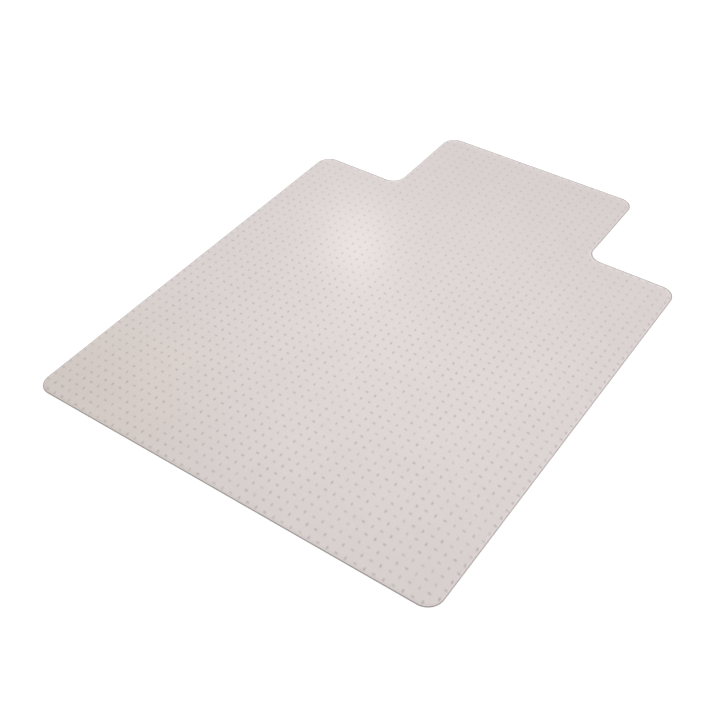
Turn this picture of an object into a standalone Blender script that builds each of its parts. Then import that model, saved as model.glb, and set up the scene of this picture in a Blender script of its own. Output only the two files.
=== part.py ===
"""Chair mat: one flexible vinyl sheet that stands on a grid of small cleats.

The sheet is a wide main panel with a narrower lip, which reaches into the knee
space of a desk. Its top edge slopes down all round, so that casters roll on
and off. Under it, blade-shaped cleats point down and grip the carpet.

Units are metres and +Z is up. +Y runs from the front edge to the lip's end.
The origin is the middle of the whole outline, at the level of the cleat tips.
"""

import math

import bmesh
import bpy
from mathutils import Vector

# Outline of the sheet, seen from above
PANEL_WIDTH = 1.1684  # 46 in across the main panel
PANEL_LENGTH = 1.2192  # 48 in from the front edge to the shoulders
LIP_WIDTH = 0.635  # 25 in
LIP_LENGTH = 0.3048  # 12 in past the shoulders
OUTER_RADIUS = 0.042  # the six corners that point outwards
INNER_RADIUS = 0.040  # the two corners between the shoulders and the lip
ARC_STEPS = 10  # straight segments in each quarter turn

# Section of the sheet
SHEET_THICKNESS = 0.0028
EDGE_SLOPE_WIDTH = 0.0095  # the sloped band along the top edge
EDGE_SLOPE_DROP = 0.0012  # how far it falls
EDGE_ROUND = 0.0003  # the small chamfers that break the sharp edges

# Cleats, which are all alike
CLEAT_HEIGHT = 0.0045
CLEAT_FLARE_HEIGHT = 0.0005  # the wider foot that runs into the sheet
CLEAT_FLARE = 0.0005  # how much wider the foot is, all round
CLEAT_ROOT = (0.0060, 0.0020)  # length and width of the blade under its foot
CLEAT_TIP = (0.0038, 0.0010)  # length and width of its flat tip
CLEAT_END_STEPS = 4  # straight segments in each rounded end
CLEAT_GAP = 0.0003  # between a cleat's foot and the underside of the sheet

# The grid that the cleats stand on. Column 0 is the first one right of the
# middle, and row 0 is the one along the front edge.
COLUMN_PITCH = 0.02451
ROW_PITCH = 0.02551
COLUMN_0_X = 0.0117
ROW_0_INSET = 0.0108  # from the front edge

# The columns and rows whose cleats are modelled, an even share of the grid
PANEL_COLUMNS = (-23, -14, -5, 4, 13, 22)
PANEL_ROWS = (1, 10, 19, 28, 37, 46)
LIP_COLUMNS = (-12, -5, 4, 11)
LIP_ROWS = (52, 58)

TOTAL_LENGTH = PANEL_LENGTH + LIP_LENGTH
FRONT_Y = -TOTAL_LENGTH / 2
UNDERSIDE_Z = CLEAT_HEIGHT + CLEAT_GAP
TOP_Z = UNDERSIDE_Z + SHEET_THICKNESS


def clear_scene():
    """Removes what a new file holds, so that only the mat is in it."""
    for old in list(bpy.data.objects):
        bpy.data.objects.remove(old, do_unlink=True)


def plastic(name, colour, roughness):
    """A Principled material for a plain moulded plastic."""
    material = bpy.data.materials.new(name)
    material.use_nodes = True
    shader = material.node_tree.nodes["Principled BSDF"]
    shader.inputs["Base Color"].default_value = (*colour, 1.0)
    shader.inputs["Roughness"].default_value = roughness
    shader.inputs["Metallic"].default_value = 0.0
    material.diffuse_color = (*colour, 1.0)
    return material


def outline_corners():
    """The sharp corners of the T shape, counter-clockwise from the front left."""
    half_panel = PANEL_WIDTH / 2
    half_lip = LIP_WIDTH / 2
    shoulder_y = FRONT_Y + PANEL_LENGTH
    end_y = FRONT_Y + TOTAL_LENGTH
    return [
        Vector((-half_panel, FRONT_Y)),
        Vector((half_panel, FRONT_Y)),
        Vector((half_panel, shoulder_y)),
        Vector((half_lip, shoulder_y)),
        Vector((half_lip, end_y)),
        Vector((-half_lip, end_y)),
        Vector((-half_lip, shoulder_y)),
        Vector((-half_panel, shoulder_y)),
    ]


def outline(inset):
    """The rounded outline, moved inwards by inset, as a list of 2D points.

    A point keeps its place in the list whatever the inset, so two outlines
    can be joined point by point.
    """
    corners = outline_corners()
    points = []
    for index, corner in enumerate(corners):
        arriving = (corner - corners[index - 1]).normalized()
        leaving = (corners[(index + 1) % len(corners)] - corner).normalized()
        turns_left = arriving.cross(leaving) > 0
        radius = OUTER_RADIUS if turns_left else INNER_RADIUS
        side = 1 if turns_left else -1
        centre = corner + (leaving - arriving) * radius
        inset_radius = radius - side * inset
        for step in range(ARC_STEPS + 1):
            angle = math.pi / 2 * step / ARC_STEPS
            out = -leaving * math.cos(angle) + arriving * math.sin(angle)
            points.append(centre + out * inset_radius)
    return points


def lofted_mesh(name, rings):
    """A closed mesh through rings of 3D points, capped at both ends.

    The rings run upwards, and each is counter-clockwise seen from above.
    """
    bm = bmesh.new()
    loops = [[bm.verts.new(point) for point in ring] for ring in rings]
    for lower, upper in zip(loops, loops[1:]):
        for index in range(len(lower)):
            after = (index + 1) % len(lower)
            bm.faces.new((lower[index], lower[after], upper[after], upper[index]))
    bm.faces.new(list(reversed(loops[0])))
    bm.faces.new(loops[-1])
    mesh = bpy.data.meshes.new(name)
    bm.to_mesh(mesh)
    bm.free()
    mesh.shade_smooth()
    mesh.set_sharp_from_angle(angle=math.radians(30))
    return mesh


def place(name, mesh, material, location=(0, 0, 0), turn=0.0):
    """Adds one sub-part to the scene."""
    part = bpy.data.objects.new(name, mesh)
    part.location = location
    part.rotation_euler = (0, 0, turn)
    if not mesh.materials:
        mesh.materials.append(material)
    bpy.context.scene.collection.objects.link(part)
    return part


def make_sheet(material):
    """The sheet: flat below, with its top edge sloped down all round."""
    side_top_z = TOP_Z - EDGE_SLOPE_DROP
    section = [  # inset from the outline, and height
        (EDGE_ROUND, UNDERSIDE_Z),
        (0.0, UNDERSIDE_Z + EDGE_ROUND),
        (0.0, side_top_z - EDGE_ROUND),
        (EDGE_ROUND, side_top_z),
        (EDGE_SLOPE_WIDTH, TOP_Z),
    ]
    rings = [[(p.x, p.y, z) for p in outline(inset)] for inset, z in section]
    place("mat_sheet", lofted_mesh("mat_sheet", rings), material)


def blade_ring(length, width, z):
    """A flat-sided ring with round ends, long in X, at the height z."""
    radius = width / 2
    straight = (length - width) / 2
    ring = []
    for end in (1, -1):
        for step in range(CLEAT_END_STEPS + 1):
            angle = -math.pi / 2 + math.pi * step / CLEAT_END_STEPS
            x = end * (straight + radius * math.cos(angle))
            y = end * radius * math.sin(angle)
            ring.append((x, y, z))
    return ring


def cleat_mesh():
    """One cleat, tip down: a tapered blade below a slightly wider foot."""
    foot = [size + 2 * CLEAT_FLARE for size in CLEAT_ROOT]
    rings = [
        blade_ring(*CLEAT_TIP, 0.0),
        blade_ring(*CLEAT_ROOT, CLEAT_HEIGHT - CLEAT_FLARE_HEIGHT),
        blade_ring(*foot, CLEAT_HEIGHT),
    ]
    return lofted_mesh("cleat", rings)


def make_cleats(material):
    """The cleats of both fields. Neighbours in the grid stand crosswise."""
    mesh = cleat_mesh()
    fields = {
        "panel_cleat": (PANEL_ROWS, PANEL_COLUMNS),
        "lip_cleat": (LIP_ROWS, LIP_COLUMNS),
    }
    for field, (rows, columns) in fields.items():
        for row_number, row in enumerate(rows, start=1):
            for column_number, column in enumerate(columns, start=1):
                x = COLUMN_0_X + COLUMN_PITCH * column
                y = FRONT_Y + ROW_0_INSET + ROW_PITCH * row
                turn = math.pi / 2 if (row + column) % 2 == 0 else 0.0
                name = f"{field}_row{row_number}_{column_number}"
                place(name, mesh, material, (x, y, 0.0), turn)


def main():
    clear_scene()
    make_sheet(plastic("frosted_vinyl", (0.69, 0.63, 0.61), 0.35))
    make_cleats(plastic("cleat_vinyl", (0.60, 0.55, 0.53), 0.45))


main()
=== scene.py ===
"""The looks of the chair mat: one frosted vinyl sheet on its whole grid of cleats.

Lengths are metres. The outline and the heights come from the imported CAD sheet's
own mesh, and the grid from two of its cleats. The slope along the edge and the
size of a cleat are given here.
"""

import math

import bpy
import numpy as np
from mathutils import Matrix, Vector, geometry, noise


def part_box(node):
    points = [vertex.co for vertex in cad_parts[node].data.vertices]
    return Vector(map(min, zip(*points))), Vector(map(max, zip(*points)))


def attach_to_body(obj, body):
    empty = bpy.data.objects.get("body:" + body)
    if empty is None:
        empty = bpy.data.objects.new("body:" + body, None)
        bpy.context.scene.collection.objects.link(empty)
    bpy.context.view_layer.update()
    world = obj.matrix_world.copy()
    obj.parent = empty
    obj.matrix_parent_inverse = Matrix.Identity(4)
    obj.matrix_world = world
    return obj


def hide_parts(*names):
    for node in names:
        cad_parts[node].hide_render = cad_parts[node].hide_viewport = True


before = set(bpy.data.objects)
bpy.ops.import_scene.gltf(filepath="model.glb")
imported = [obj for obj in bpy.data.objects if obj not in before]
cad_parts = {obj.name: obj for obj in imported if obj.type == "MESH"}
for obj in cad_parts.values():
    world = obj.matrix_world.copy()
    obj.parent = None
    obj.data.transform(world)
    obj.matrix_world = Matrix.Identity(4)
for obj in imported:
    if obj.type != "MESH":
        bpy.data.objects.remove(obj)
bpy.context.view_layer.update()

# ---------------------------------------------------------------- dimensions

# The grid of cleats. The CAD model holds every ninth one of the main panel.
CAD_GRID_STEP = 9
FIRST_CAD_CLEAT = "panel_cleat_row1_1"
LAST_CAD_CLEAT = "panel_cleat_row6_6"
CAD_GRID_CELLS = 5 * CAD_GRID_STEP  # cells from the first to the last, each way

# How finely the sheet is meshed
MESH_STEP = 0.013  # along the edges and across the faces
FILL_MARGIN = 0.6 * MESH_STEP  # free of grid points, inside the last ring
MERGE_DISTANCE = 1e-7  # for the fill
ARC_STEPS = 14  # in each rounded corner
SHARP_ANGLE = math.radians(40)  # edges sharper than this aren't smoothed

# Section of the sheet's edge
LOWER_ROUND = 0.0004
LOWER_ROUND_STEPS = 3
UPPER_ROUND = 0.0003
UPPER_ROUND_STEPS = 4
SLOPE_WIDTH = 0.0095
SLOPE_DROP = 0.0012
SLOPE_BLEND = 0.0016  # where the slope flattens into the top
KNEE_INSET = SLOPE_WIDTH - 0.0003  # where the slope has begun to flatten
KNEE_DROP = 0.30  # its depth there, as a share of the ring before it

# How light the vinyl looks over the rim and the slope, at each inset, and on the
# # wall below the rim. These tones are painted light and shade, standing in for how
# # such an edge catches the light; the dark wall is partly the vinyl's cut edge and
# # partly painted shadow of the gap under the sheet. Edges that face the front, the
# # sides and the rear differ.
TONE_INSETS = (0.0, 0.0018, 0.0030, 0.0042, 0.0058, 0.0073, 0.0092, 0.0111)
SLOPE_INSETS = TONE_INSETS[1:6]  # the ones that get a ring of points on the slope
FRONT_TONES = (0.36, 0.50, 1.04, 1.03, 0.945, 1.00, 1.02, 1.01)
SIDE_TONES = (0.52, 0.72, 1.08, 1.08, 1.05, 1.02, 1.01, 1.00)
REAR_TONES = (0.22, 0.30, 0.62, 1.14, 1.13, 1.11, 1.08, 1.03)
WALL_TONES = (0.28, 0.58, 0.60)  # front, side and rear
TONE_LAYER = "edge_tone"
FACING_INSET = 0.01  # between the two outlines that show which way an edge faces

# The sheet isn't quite flat: long, low waves that dip below its nominal height
WAVE_DEPTH = 0.00035
WAVES_PER_M = 3.1

# One cleat
CLEAT_ROOT = (0.0060, 0.0020)  # length and width of the blade under its foot
CLEAT_TIP = (0.0038, 0.0010)
CLEAT_TIP_ROUND = (0.8, 0.6)  # the flat end, as shares of the tip's length and width
CLEAT_FLARE = 0.0006  # how much wider the foot is than the root, all round
CLEAT_HEIGHTS = (0.0, 0.05, 0.86, 1.0)  # of the flat end, tip, root and foot, as shares
CLEAT_END_STEPS = 4  # straight segments in each rounded end
CLEAT_LEAN = 0.00025  # how far a tip strays from under its root
CLEAT_SEAT = 0.00002  # the hair's gap between a cleat and the sheet
EDGE_CLEARANCE = 0.0035  # no cleat stands closer to the outline than this
GRID_SLACK = 3  # cells tried before the CAD model's first cleat, each way
CLEAT_SEED = 7  # for the leaning of the tips

# The vinyl
SHEET_COLOUR = (0.646, 0.592, 0.582)
SHEET_ALPHA = 0.88
TOP_ROUGHNESS = 0.23
TOP_PEBBLE = 0.4  # strength of the fine bumps
UNDERSIDE_ROUGHNESS = 0.40
UNDERSIDE_PEBBLE = 0.3
CLEAT_COLOUR = (0.34, 0.31, 0.30)
CLEAT_ALPHA = 0.9
CLEAT_ROUGHNESS = 0.35
CLEAT_PEBBLE = 0.2
VINYL_IOR = 1.53
PEBBLES_PER_M = 650.0
PEBBLE_DEPTH = 0.0001
CLOUDS_PER_M = 3.5
CLOUD_SHADE = (0.985, 1.01)  # the darkest and lightest factor
MOTTLES_PER_M = 30.0
MOTTLE_SHADE = (0.992, 1.006)
MOTTLE_ROUGHNESS = 0.03  # how far the roughness strays either way

# Yellowing about one corner and in faint patches, and painted shade along the front
AGED_COLOUR = (0.985, 0.968, 0.932, 1.0)  # multiplies the vinyl's colour
AGED_MIDDLE = (-0.52, -0.80, 0.0)
AGED_REACH = (0.10, 0.62)  # all of it nearer than this, none farther
AGED_PATCHES = 0.15  # the most that a patch adds
# painted shade along the front edge: how dark it makes the colour there, and how far it reaches
FRONT_PAINTED_SHADE = 0.978  # along the front edge
FRONT_PAINTED_SHADE_REACH = 0.30

# The dark dash that a cleat shows through the sheet, painted: the cleat seen through the vinyl
# # together with its shade. It is drawn as two soft marks: one near the cleat's root, and a
# fainter
# # one to the front right of it, a painted shadow of the cleat cast by light from the rear left.
DASH_HALF = 0.0021  # half of its straight part
DASH_CORE = 0.0003  # as dark as it gets, nearer than this to its middle line
DASH_REACH = 0.0038  # gone, farther than this from it
DASH_VARIES = 0.24  # how much stronger or weaker a dash may be
DASH_STRENGTH = 0.172
ROOT_MARK = (-0.0008, 0.0011, 0.0)  # from the cleat's own place
# the painted shadow of the cleat, thrown to the front right by the light from the rear left
SHADOW_MARK = (0.0012, -0.0016, 0.0)
SHADOW_SHARE = 0.75  # of the root mark's strength
BEND = 0.0018  # width of the range in which a place is shifted by unevenness
BENDS_PER_M = 55.0
REAR_DASHES = 0.72  # how strong they are towards the lip's end
REAR_DASHES_FROM = (-0.1, 0.5)  # y

# The camera, and where it looks
CAMERA_PLACE = (1.2261, -1.8856, 1.9754)
CAMERA_AZIMUTH = math.radians(35.91)
CAMERA_FALL = math.radians(43.996)  # how far below level it looks
CAMERA_ROLL = math.radians(-1.272)
LENS = 56.05
SENSOR_WIDTH = 36.0

# The studio
HORIZON_LIGHT = 1.05
SKY_LIGHT = 0.54
SKY_FROM = (0.30, 0.50)  # height on the unit sphere of directions
FLOOR_REACH = 60.0
FLOOR_COLOUR = (0.20, 0.20, 0.20, 1.0)
FLOOR_GLOW = (0.90, 0.94)  # near the mat and far from it
FLOOR_GLOW_FROM = (0.9, 2.2)
LAMPS = {  # place, target, size, power, and whether the mat reflects it
    "overhead": ((0.2, -0.2, 2.0), (0.2, -0.2, 0.0), 1.0, 21.0, False),
    "rear_fill": ((-3.2, 4.0, 3.8), (0.0, 0.0, 0.0), 2.0, 110.0, False),
    "glint": ((-1.45, 1.80, 1.62), (-0.25, 0.10, 0.0), 0.28, 1.0, True),
}


# ------------------------------------------------------------------- outline

sheet_points = np.array([v.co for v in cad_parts["mat_sheet"].data.vertices])
sheet_low, sheet_high = (Vector(corner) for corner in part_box("mat_sheet"))
HALF_PANEL = sheet_high.x
FRONT_Y = sheet_low.y
END_Y = sheet_high.y
UNDERSIDE_Z = sheet_low.z
TOP_Z = sheet_high.z
FLAT_TOLERANCE = 0.0001
CORNER_REACH = 0.06  # more than any corner's radius


def extreme(axis, pick, mask):
    """The largest or smallest coordinate along axis of the masked CAD points."""
    return float(pick(sheet_points[mask][:, axis]))


# The points of the outline itself, which stand as high as the outermost one
outermost_z = sheet_points[np.argmax(sheet_points[:, 0]), 2]
on_outline = abs(sheet_points[:, 2] - outermost_z) < FLAT_TOLERANCE
sheet_points = sheet_points[on_outline]
at_front = sheet_points[:, 1] < FRONT_Y + FLAT_TOLERANCE
OUTER_RADIUS = HALF_PANEL - extreme(0, np.max, at_front)
HALF_LIP = extreme(0, np.max, sheet_points[:, 1] > END_Y - CORNER_REACH)
beside_lip = sheet_points[:, 0] > HALF_LIP + CORNER_REACH
SHOULDER_Y = extreme(1, np.max, beside_lip)
at_shoulder = abs(sheet_points[:, 1] - SHOULDER_Y) < FLAT_TOLERANCE
right_shoulder = at_shoulder & (sheet_points[:, 0] > 0)
INNER_RADIUS = extreme(0, np.min, right_shoulder) - HALF_LIP


def outline_corners():
    """The sharp corners of the T shape, counter-clockwise from the front left."""
    return [
        Vector((-HALF_PANEL, FRONT_Y)),
        Vector((HALF_PANEL, FRONT_Y)),
        Vector((HALF_PANEL, SHOULDER_Y)),
        Vector((HALF_LIP, SHOULDER_Y)),
        Vector((HALF_LIP, END_Y)),
        Vector((-HALF_LIP, END_Y)),
        Vector((-HALF_LIP, SHOULDER_Y)),
        Vector((-HALF_PANEL, SHOULDER_Y)),
    ]


def outline(inset):
    """The rounded outline moved inwards by inset, with points along its edges.

    A point keeps its place in the list whatever the inset, so two outlines
    can be joined point by point.
    """
    corners = outline_corners()
    points = []
    for index, corner in enumerate(corners):
        following = corners[(index + 1) % len(corners)]
        after_next = corners[(index + 2) % len(corners)]
        arriving = (corner - corners[index - 1]).normalized()
        leaving = (following - corner).normalized()
        turning = (after_next - following).normalized()
        turns_left = arriving.cross(leaving) > 0
        radius = OUTER_RADIUS if turns_left else INNER_RADIUS
        inset_radius = radius - (inset if turns_left else -inset)
        centre = corner + (leaving - arriving) * radius
        for step in range(ARC_STEPS + 1):
            angle = math.pi / 2 * step / ARC_STEPS
            out = -leaving * math.cos(angle) + arriving * math.sin(angle)
            points.append(centre + out * inset_radius)
        next_radius = OUTER_RADIUS if leaving.cross(turning) > 0 else INNER_RADIUS
        inward = Vector((-leaving.y, leaving.x)) * inset
        start = corner + leaving * radius + inward
        stop = following - leaving * next_radius + inward
        pieces = max(1, round((stop - start).length / MESH_STEP))
        points += [start.lerp(stop, step / pieces) for step in range(1, pieces)]
    return points


def depth_inside(x, y):
    """How far a point lies inside the outline, negative when it lies outside.

    The little that the two inner corners' rounding adds is left out.
    """

    def rounded_box(centre_y, half_x, half_y, radius):
        over_x = abs(x) - (half_x - radius)
        over_y = abs(y - centre_y) - (half_y - radius)
        outside = math.hypot(max(over_x, 0.0), max(over_y, 0.0))
        return radius - outside - min(max(over_x, over_y), 0.0)

    panel = rounded_box(
        (FRONT_Y + SHOULDER_Y) / 2, HALF_PANEL, (SHOULDER_Y - FRONT_Y) / 2, OUTER_RADIUS
    )
    lip_start = SHOULDER_Y - 2 * CORNER_REACH
    lip = rounded_box(
        (lip_start + END_Y) / 2, HALF_LIP, (END_Y - lip_start) / 2, OUTER_RADIUS
    )
    return max(panel, lip)


def wave(x, y):
    """How far the sheet's long, low waves lower it at a point, as a height <= 0."""
    place = Vector((x, y, 0.0)) * WAVES_PER_M
    return WAVE_DEPTH * (noise.noise(place) - 1) / 2


# ---------------------------------------------------------------------- grid

def node_middle(name):
    """The middle of a CAD node's box."""
    low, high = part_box(name)
    return (Vector(low) + Vector(high)) / 2


first_cleat = node_middle(FIRST_CAD_CLEAT)
last_cleat = node_middle(LAST_CAD_CLEAT)
COLUMN_PITCH = (last_cleat.x - first_cleat.x) / CAD_GRID_CELLS
ROW_PITCH = (last_cleat.y - first_cleat.y) / CAD_GRID_CELLS


# ----------------------------------------------------------------- materials

def new_material(name):
    """A new material, with its node tree and its Principled shader."""
    material = bpy.data.materials.new(name)
    material.use_nodes = True
    tree = material.node_tree
    return material, tree, tree.nodes["Principled BSDF"]


def add(tree, kind, **values):
    """Adds a node. A value goes to the input of that name, or to a property."""
    node = tree.nodes.new(kind)
    for key, value in values.items():
        label = key.replace("_", " ")
        if label in node.inputs:
            node.inputs[label].default_value = value
        else:
            setattr(node, key, value)
    return node


def noise_value(tree, place, scale, detail=2.0, roughness=0.5):
    """Noise over the object's own space, in 1/m, as a value about 0.5."""
    node = add(tree, "ShaderNodeTexNoise", Scale=scale, Detail=detail, Roughness=roughness)
    tree.links.new(place, node.inputs["Vector"])
    return node.outputs["Fac"]


def ranged(tree, value, low, high, to_low, to_high):
    """A value mapped smoothly from one range to another."""
    node = add(tree, "ShaderNodeMapRange", interpolation_type="SMOOTHSTEP")
    tree.links.new(value, node.inputs["Value"])
    for name, number in zip(("From Min", "From Max", "To Min", "To Max"),
                            (low, high, to_low, to_high)):
        node.inputs[name].default_value = number
    return node.outputs["Result"]


def math_node(tree, operation, first, second=0.0):
    """The sum, product and so on of values, either of which may be a number."""
    node = add(tree, "ShaderNodeMath", operation=operation)
    for socket, value in zip(node.inputs, (first, second)):
        if isinstance(value, (int, float)):
            socket.default_value = value
        else:
            tree.links.new(value, socket)
    return node.outputs[0]


def mixed(tree, factor, first, second, blend="MIX"):
    """Two colours mixed by factor. A colour may be a socket or four numbers."""
    node = tree.nodes.new("ShaderNodeMix")
    node.data_type = "RGBA"
    node.blend_type = blend
    sockets = {s.identifier: s for s in node.inputs}
    chosen = (sockets["Factor_Float"], sockets["A_Color"], sockets["B_Color"])
    for socket, value in zip(chosen, (factor, first, second)):
        if isinstance(value, (int, float, tuple)):
            socket.default_value = value
        else:
            tree.links.new(value, socket)
    return next(s for s in node.outputs if s.identifier == "Result_Color")


def vector_math(tree, operation, first, second=None):
    """The sum, product and so on of two vectors, either of which may be numbers."""
    node = add(tree, "ShaderNodeVectorMath", operation=operation)
    for socket, value in zip(node.inputs, (first, second)):
        if isinstance(value, tuple):
            socket.default_value = value
        elif value is not None:
            tree.links.new(value, socket)
    return node.outputs["Value" if operation == "LENGTH" else "Vector"]


def dash_mark(tree, local, middle, odd):
    """One soft mark about middle, along X where odd is 1 and along Y where it is 0."""
    split = add(tree, "ShaderNodeSeparateXYZ")
    tree.links.new(vector_math(tree, "SUBTRACT", local, middle), split.inputs[0])
    x, y = split.outputs["X"], split.outputs["Y"]
    swap = math_node(tree, "MULTIPLY", odd, math_node(tree, "SUBTRACT", x, y))
    along = math_node(tree, "ADD", y, swap)
    across = math_node(tree, "SUBTRACT", x, swap)
    over = math_node(tree, "SUBTRACT", math_node(tree, "ABSOLUTE", along), DASH_HALF)
    over = math_node(tree, "MAXIMUM", over, 0.0)
    away = add(tree, "ShaderNodeCombineXYZ")
    tree.links.new(over, away.inputs["X"])
    tree.links.new(across, away.inputs["Y"])
    distance = vector_math(tree, "LENGTH", away.outputs[0])
    return ranged(tree, distance, DASH_CORE, DASH_REACH, 1.0, 0.0)


def cleat_shade(tree, place, strength):
    """How much darker the vinyl looks over each cleat, as a factor: the cleat seen
    through the sheet with its shade, and a painted shadow beside it.

    The grid is worked out from the place: a dash at the middle of every cell,
    turned crosswise in every second cell, and a little stronger in some.
    """
    origin = (first_cleat.x - COLUMN_PITCH / 2, first_cleat.y - ROW_PITCH / 2, 0.0)
    pitch = (COLUMN_PITCH, ROW_PITCH, 1.0)
    bend = add(tree, "ShaderNodeTexNoise", Scale=BENDS_PER_M, Detail=1.0)
    tree.links.new(place, bend.inputs["Vector"])
    shift = vector_math(tree, "SUBTRACT", bend.outputs["Color"], (0.5, 0.5, 0.5))
    shift = vector_math(tree, "MULTIPLY", shift, (BEND, BEND, 0.0))
    seen = vector_math(tree, "ADD", place, shift)
    cells = vector_math(tree, "DIVIDE", vector_math(tree, "SUBTRACT", seen, origin), pitch)
    cell = vector_math(tree, "FLOOR", cells)
    local = vector_math(tree, "SUBTRACT", cells, cell)
    local = vector_math(tree, "SUBTRACT", local, (0.5, 0.5, 0.0))
    local = vector_math(tree, "MULTIPLY", local, pitch)

    split_cell = add(tree, "ShaderNodeSeparateXYZ")
    tree.links.new(cell, split_cell.inputs[0])
    both = math_node(tree, "ADD", split_cell.outputs["X"], split_cell.outputs["Y"])
    half = math_node(tree, "MULTIPLY", both, 0.5)
    odd = math_node(tree, "GREATER_THAN", math_node(tree, "FRACT", half), 0.25)

    root = dash_mark(tree, local, ROOT_MARK, odd)
    # painted shadow beside each cleat's root mark
    faint = math_node(tree, "MULTIPLY", dash_mark(tree, local, SHADOW_MARK, odd), SHADOW_SHARE)
    dash = math_node(tree, "ADD", root, faint)

    random = add(tree, "ShaderNodeTexWhiteNoise", noise_dimensions="2D")
    tree.links.new(cell, random.inputs["Vector"])
    vary = ranged(tree, random.outputs["Value"], 0.0, 1.0, 1.0 - DASH_VARIES, 1.0 + DASH_VARIES)
    split_place = add(tree, "ShaderNodeSeparateXYZ")
    tree.links.new(place, split_place.inputs[0])
    fade = ranged(tree, split_place.outputs["Y"], *REAR_DASHES_FROM, 1.0, REAR_DASHES)
    depth = math_node(tree, "MULTIPLY", math_node(tree, "MULTIPLY", dash, vary), strength)
    return math_node(tree, "SUBTRACT", 1.0, math_node(tree, "MULTIPLY", depth, fade))


def yellowed_and_front_shaded(tree, place, cloud, base):
    """The vinyl's colour, yellowed about one corner and in faint patches, and darker
    along the front, where a painted shade is laid on it."""
    away = vector_math(tree, "LENGTH", vector_math(tree, "SUBTRACT", place, AGED_MIDDLE))
    near = ranged(tree, away, *AGED_REACH, 1.0, 0.0)
    patches = ranged(tree, cloud, 0.35, 0.65, 0.0, AGED_PATCHES)
    amount = math_node(tree, "MINIMUM", math_node(tree, "ADD", near, patches), 1.0)
    yellowed = mixed(tree, amount, base, mixed(tree, 1.0, base, AGED_COLOUR, blend="MULTIPLY"))
    split = add(tree, "ShaderNodeSeparateXYZ")
    tree.links.new(place, split.inputs[0])
    # painted shade: the colour darkens towards the front edge
    front_painted_shade = ranged(tree, split.outputs["Y"], FRONT_Y, FRONT_Y + FRONT_PAINTED_SHADE_REACH, FRONT_PAINTED_SHADE, 1.0)
    front_shade_colour = add(tree, "ShaderNodeCombineColor")
    for socket in front_shade_colour.inputs:
        tree.links.new(front_painted_shade, socket)
    return mixed(tree, 1.0, yellowed, front_shade_colour.outputs[0], blend="MULTIPLY")


def vinyl(name, colour, alpha, roughness, pebble, dash=0.0, toned=False):
    """Frosted, slightly clouded vinyl that lets some of what is behind show."""
    material, tree, shader = new_material(name)
    place = add(tree, "ShaderNodeTexCoord").outputs["Object"]

    cloud = noise_value(tree, place, CLOUDS_PER_M, detail=3.0)
    mottle = noise_value(tree, place, MOTTLES_PER_M, detail=3.0, roughness=0.6)
    shade = math_node(tree, "MULTIPLY", ranged(tree, cloud, 0.3, 0.7, *CLOUD_SHADE),
                      ranged(tree, mottle, 0.3, 0.7, *MOTTLE_SHADE))
    if dash:
        shade = math_node(tree, "MULTIPLY", shade, cleat_shade(tree, place, dash))
    if toned:
        # the edge's painted light and shade
        tone_value = add(tree, "ShaderNodeAttribute", attribute_name=TONE_LAYER)
        shade = math_node(tree, "MULTIPLY", shade, tone_value.outputs["Fac"])
    tone = add(tree, "ShaderNodeCombineColor")
    for socket in tone.inputs:
        tree.links.new(shade, socket)
    base = mixed(tree, 1.0, (*colour, 1.0), tone.outputs[0], blend="MULTIPLY")
    tree.links.new(yellowed_and_front_shaded(tree, place, cloud, base), shader.inputs["Base Color"])

    stray = ranged(tree, mottle, 0.25, 0.75, -MOTTLE_ROUGHNESS, MOTTLE_ROUGHNESS)
    rough = math_node(tree, "ADD", stray, roughness)
    tree.links.new(rough, shader.inputs["Roughness"])

    bump = add(tree, "ShaderNodeBump", Strength=pebble, Distance=PEBBLE_DEPTH)
    tree.links.new(noise_value(tree, place, PEBBLES_PER_M), bump.inputs["Height"])
    tree.links.new(bump.outputs["Normal"], shader.inputs["Normal"])

    shader.inputs["Alpha"].default_value = alpha
    shader.inputs["IOR"].default_value = VINYL_IOR
    return material


# -------------------------------------------------------------------- meshes

def attach(piece, nodes):
    """Makes a piece move with the mat and stand for its CAD nodes."""
    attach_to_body(piece, "root")
    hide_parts(*nodes)


def mesh_object(name, points, faces, materials, face_materials=None):
    """A smooth-shaded mesh object with its materials."""
    mesh = bpy.data.meshes.new(name)
    mesh.from_pydata(points, [], faces)
    for material in materials:
        mesh.materials.append(material)
    if face_materials is not None:
        mesh.polygons.foreach_set("material_index", face_materials)
    mesh.shade_smooth()
    mesh.set_sharp_from_angle(angle=SHARP_ANGLE)
    mesh.update()
    piece = bpy.data.objects.new(name, mesh)
    bpy.context.scene.collection.objects.link(piece)
    return piece


def arc_section(centre_inset, centre_z, radius, from_angle, to_angle, steps):
    """Points (inset, height) on an arc of the section. Angle 0 looks outwards."""
    angles = [from_angle + (to_angle - from_angle) * s / steps for s in range(steps + 1)]
    return [
        (centre_inset - radius * math.cos(a), centre_z + radius * math.sin(a))
        for a in angles
    ]


def edge_section():
    """The sheet's section from under its edge, round the side, to its flat top."""
    slope_angle = math.atan2(SLOPE_DROP, SLOPE_WIDTH)
    side_top = TOP_Z - SLOPE_DROP
    lower = arc_section(LOWER_ROUND, UNDERSIDE_Z + LOWER_ROUND, LOWER_ROUND,
                        -math.pi / 2, 0.0, LOWER_ROUND_STEPS)
    upper = arc_section(UPPER_ROUND, side_top - UPPER_ROUND, UPPER_ROUND,
                        0.0, math.pi / 2 - slope_angle, UPPER_ROUND_STEPS)
    start_inset, start_z = upper[-1]
    slope = []
    for inset in SLOPE_INSETS:
        share = (inset - start_inset) / (SLOPE_WIDTH - start_inset)
        slope.append((inset, start_z + (TOP_Z - start_z) * share))
    last_drop = TOP_Z - slope[-1][1]
    slope.append((KNEE_INSET, TOP_Z - last_drop * KNEE_DROP))
    slope.append((SLOPE_WIDTH + SLOPE_BLEND, TOP_Z))
    return lower + upper + slope


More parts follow.
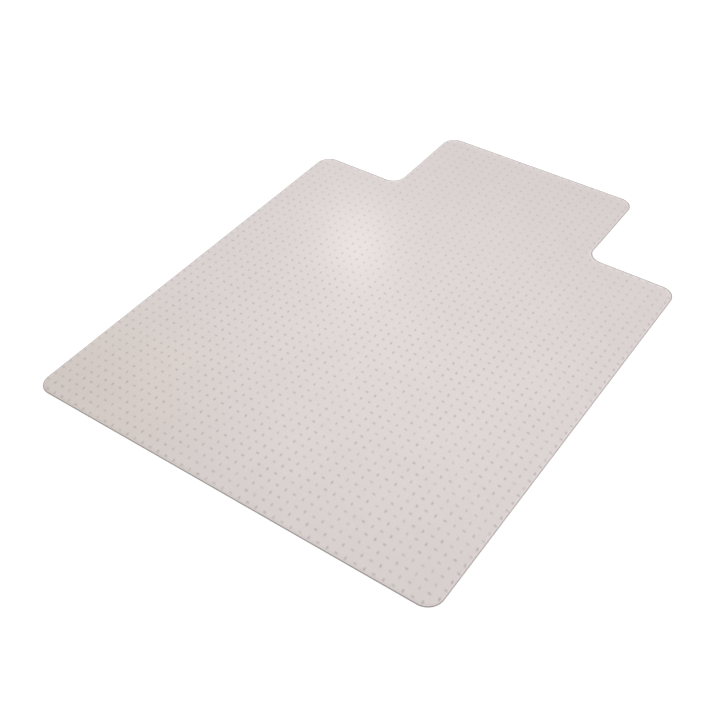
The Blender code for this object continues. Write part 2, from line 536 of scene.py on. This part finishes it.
def filled(ring):
    """Grid points inside a ring, joined to it as one flat sheet of triangles."""
    low_x = -HALF_PANEL
    columns = round(2 * HALF_PANEL / MESH_STEP)
    rows = round((END_Y - FRONT_Y) / MESH_STEP)
    inner_depth = SLOPE_WIDTH + SLOPE_BLEND + FILL_MARGIN
    points = [Vector((p.x, p.y)) for p in ring]
    for row in range(rows + 1):
        for column in range(columns + 1):
            x = low_x + 2 * HALF_PANEL * column / columns
            y = FRONT_Y + (END_Y - FRONT_Y) * row / rows
            if depth_inside(x, y) > inner_depth:
                points.append(Vector((x, y)))
    loop = [(i, (i + 1) % len(ring)) for i in range(len(ring))]
    places, _, faces, *_ = geometry.delaunay_2d_cdt(points, loop, [], 1, MERGE_DISTANCE)
    if len(places) != len(points):
        raise ValueError("the fill moved the ring's points")
    return [(p.x, p.y) for p in places], [tuple(face) for face in faces]


def edge_facings():
    """How far each point of the outline faces the rear: 1 rear, 0 side, -1 front."""
    pairs = zip(outline(0.0), outline(FACING_INSET))
    return [(outer - inner).normalized().y for outer, inner in pairs]


def level_tones(inset, z):
    """The front, side and rear tone of painted light and shade of one ring of the section."""
    if z < TOP_Z - SLOPE_DROP - UPPER_ROUND / 2:
        return WALL_TONES
    return [np.interp(inset, TONE_INSETS, row) for row in (FRONT_TONES, SIDE_TONES, REAR_TONES)]


def make_sheet():
    """The whole sheet as one closed body: sloped edge, side, top and underside."""
    section = edge_section()
    rings = [outline(inset) for inset, _ in section]
    count = len(rings[0])
    points = []
    tones = []
    facings = edge_facings()
    for ring, (inset, z) in zip(rings, section):
        points += [(p.x, p.y, z + wave(p.x, p.y)) for p in ring]
        row = level_tones(inset, z)
        # painted light and shade of the edge, by which way the edge faces
        tones += [float(np.interp(facing, (-1, 0, 1), row)) for facing in facings]
    faces = []
    for lower in range(len(section) - 1):
        for index in range(count):
            after = (index + 1) % count
            a = lower * count + index
            b = lower * count + after
            faces.append((a, b, b + count, a + count))
    zones = [0] * len(faces)

    flat, triangles = filled(rings[-1])
    top_ring = (len(section) - 1) * count
    first_top = len(points)
    points += [(x, y, TOP_Z + wave(x, y)) for x, y in flat[count:]]
    tones += [1.0] * (len(flat) - count)
    top_index = list(range(top_ring, top_ring + count))
    top_index += range(first_top, first_top + len(flat) - count)
    faces += [tuple(top_index[i] for i in face) for face in triangles]
    zones += [0] * len(triangles)

    below, lower_triangles = filled(rings[0])
    first_below = len(points)
    points += [(x, y, UNDERSIDE_Z + wave(x, y)) for x, y in below[count:]]
    tones += [1.0] * (len(below) - count)
    low_index = list(range(count))
    low_index += range(first_below, first_below + len(below) - count)
    faces += [tuple(low_index[i] for i in reversed(face)) for face in lower_triangles]
    zones += [1] * len(lower_triangles)

    materials = [
        vinyl("vinyl_skin", SHEET_COLOUR, SHEET_ALPHA, TOP_ROUGHNESS, TOP_PEBBLE,
              DASH_STRENGTH, toned=True),
        vinyl("vinyl_underside", SHEET_COLOUR, SHEET_ALPHA, UNDERSIDE_ROUGHNESS,
              UNDERSIDE_PEBBLE),
    ]
    piece = mesh_object("vinyl_sheet", points, faces, materials, zones)
    tone_layer = piece.data.attributes.new(TONE_LAYER, "FLOAT", "POINT")
    tone_layer.data.foreach_set("value", tones)
    attach(piece, ["mat_sheet"])


# -------------------------------------------------------------------- cleats

def blade_ring(length, width):
    """A round-ended ring of points, long in X."""
    radius = width / 2
    straight = (length - width) / 2
    ring = []
    for end in (1, -1):
        for step in range(CLEAT_END_STEPS + 1):
            angle = -math.pi / 2 + math.pi * step / CLEAT_END_STEPS
            ring.append((end * (straight + radius * math.cos(angle)),
                         end * radius * math.sin(angle)))
    return np.array(ring)


def cleat_rings():
    """The rings of one cleat, tip first, each with its share of the height."""
    flat_end = [size * share for size, share in zip(CLEAT_TIP, CLEAT_TIP_ROUND)]
    foot = [size + 2 * CLEAT_FLARE for size in CLEAT_ROOT]
    sizes = (flat_end, CLEAT_TIP, CLEAT_ROOT, foot)
    return [(blade_ring(*size), share) for size, share in zip(sizes, CLEAT_HEIGHTS)]


def grid_places():
    """Every cleat of the mat: column, row, x and y, counted from the CAD's first."""
    places = []
    reach = int(2 * HALF_PANEL / COLUMN_PITCH)
    last_row = int((END_Y - FRONT_Y) / ROW_PITCH)
    for row in range(-GRID_SLACK, last_row + 1):
        for column in range(-GRID_SLACK, reach + 1):
            x = first_cleat.x + COLUMN_PITCH * column
            y = first_cleat.y + ROW_PITCH * row
            if depth_inside(x, y) > EDGE_CLEARANCE:
                places.append((column, row, x, y))
    return places


def make_cleats(name, places, nodes, material, rng):
    """All the cleats of one field as one piece of separate closed blades."""
    rings = cleat_rings()
    count = len(rings[0][0])
    points = []
    faces = []
    for column, row, x, y in places:
        height = UNDERSIDE_Z + wave(x, y) - CLEAT_SEAT
        lean = rng.uniform(-CLEAT_LEAN, CLEAT_LEAN, 2)
        crosswise = (column + row) % 2 == 0
        first = len(points)
        for ring, share in rings:
            shift = lean * (1 - share)
            across = ring[:, ::-1] * (-1, 1) if crosswise else ring
            for px, py in across + shift:
                points.append((x + px, y + py, height * share))
        for level in range(len(rings) - 1):
            base = first + level * count
            for index in range(count):
                after = (index + 1) % count
                faces.append((base + index, base + after,
                              base + after + count, base + index + count))
        faces.append(tuple(first + i for i in reversed(range(count))))
        top = first + (len(rings) - 1) * count
        faces.append(tuple(top + i for i in range(count)))
    piece = mesh_object(name, points, faces, [material])
    attach(piece, nodes)


def make_all_cleats():
    """The cleats in three fields: the panel's front and rear half, and the lip."""
    rng = np.random.default_rng(CLEAT_SEED)
    material = vinyl("vinyl_cleat", CLEAT_COLOUR, CLEAT_ALPHA, CLEAT_ROUGHNESS, CLEAT_PEBBLE)
    middle_y = (FRONT_Y + SHOULDER_Y) / 2
    cad_cleats = [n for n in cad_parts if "cleat" in n]
    fields = {
        "cleats_front": lambda y: y < middle_y,
        "cleats_rear": lambda y: middle_y <= y < SHOULDER_Y,
        "cleats_lip": lambda y: y >= SHOULDER_Y,
    }
    places = grid_places()
    for name, holds in fields.items():
        chosen = [place for place in places if holds(place[3])]
        nodes = [n for n in cad_cleats if holds(node_middle(n).y)]
        make_cleats(name, chosen, nodes, material, rng)


# --------------------------------------------------------------------- stage

def make_floor():
    """A plain white floor, wide enough to fill every view.

    Most of its white is a glow of its own, so the mat throws hardly any shadow.
    """
    material, tree, shader = new_material("white_floor")
    shader.inputs["Base Color"].default_value = FLOOR_COLOUR
    shader.inputs["Emission Color"].default_value = (1.0, 1.0, 1.0, 1.0)
    shader.inputs["Roughness"].default_value = 1.0
    shader.inputs["Specular IOR Level"].default_value = 0.0
    place = add(tree, "ShaderNodeTexCoord").outputs["Object"]
    away = vector_math(tree, "LENGTH", place)
    glow = ranged(tree, away, *FLOOR_GLOW_FROM, *FLOOR_GLOW)
    tree.links.new(glow, shader.inputs["Emission Strength"])
    signs = ((-1, -1), (1, -1), (1, 1), (-1, 1))
    corners = [(x * FLOOR_REACH, y * FLOOR_REACH, 0) for x, y in signs]
    floor = mesh_object("floor", corners, [(0, 1, 2, 3)], [material])


def make_world():
    """Soft studio light from all round, with a bright band above the horizon."""
    world = bpy.data.worlds.new("studio")
    bpy.context.scene.world = world
    world.use_nodes = True
    tree = world.node_tree
    place = add(tree, "ShaderNodeTexCoord").outputs["Generated"]
    split = add(tree, "ShaderNodeSeparateXYZ")
    tree.links.new(place, split.inputs[0])
    strength = ranged(tree, split.outputs["Z"], *SKY_FROM, HORIZON_LIGHT, SKY_LIGHT)
    background = tree.nodes["Background"]
    background.inputs["Color"].default_value = (1.0, 1.0, 1.0, 1.0)
    tree.links.new(strength, background.inputs["Strength"])


def area_light(name, place, target, size, power, shines):
    """A round soft light at place, facing target, with or without a reflection."""
    data = bpy.data.lights.new(name, "AREA")
    data.shape = "DISK"
    data.size = size
    data.energy = power
    light = bpy.data.objects.new(name, data)
    light.location = place
    light.visible_camera = False
    light.visible_glossy = shines
    light.rotation_euler = (Vector(target) - Vector(place)).to_track_quat("-Z", "Y").to_euler()
    bpy.context.scene.collection.objects.link(light)


def make_camera():
    """The camera, looking down at the mat from its front right."""
    data = bpy.data.cameras.new("camera")
    data.lens = LENS
    data.sensor_width = SENSOR_WIDTH
    camera = bpy.data.objects.new("camera", data)
    camera.matrix_world = (
        Matrix.Translation(CAMERA_PLACE)
        @ Matrix.Rotation(CAMERA_AZIMUTH, 4, "Z")
        @ Matrix.Rotation(math.pi / 2 - CAMERA_FALL, 4, "X")
        @ Matrix.Rotation(CAMERA_ROLL, 4, "Z")
    )
    bpy.context.scene.collection.objects.link(camera)
    bpy.context.scene.camera = camera


make_camera()
make_world()
for lamp_name, lamp in LAMPS.items():
    area_light(lamp_name, *lamp)
make_floor()
make_sheet()
make_all_cleats()

bpy.context.scene.view_settings.view_transform = "Standard"

bpy.context.view_layer.update()
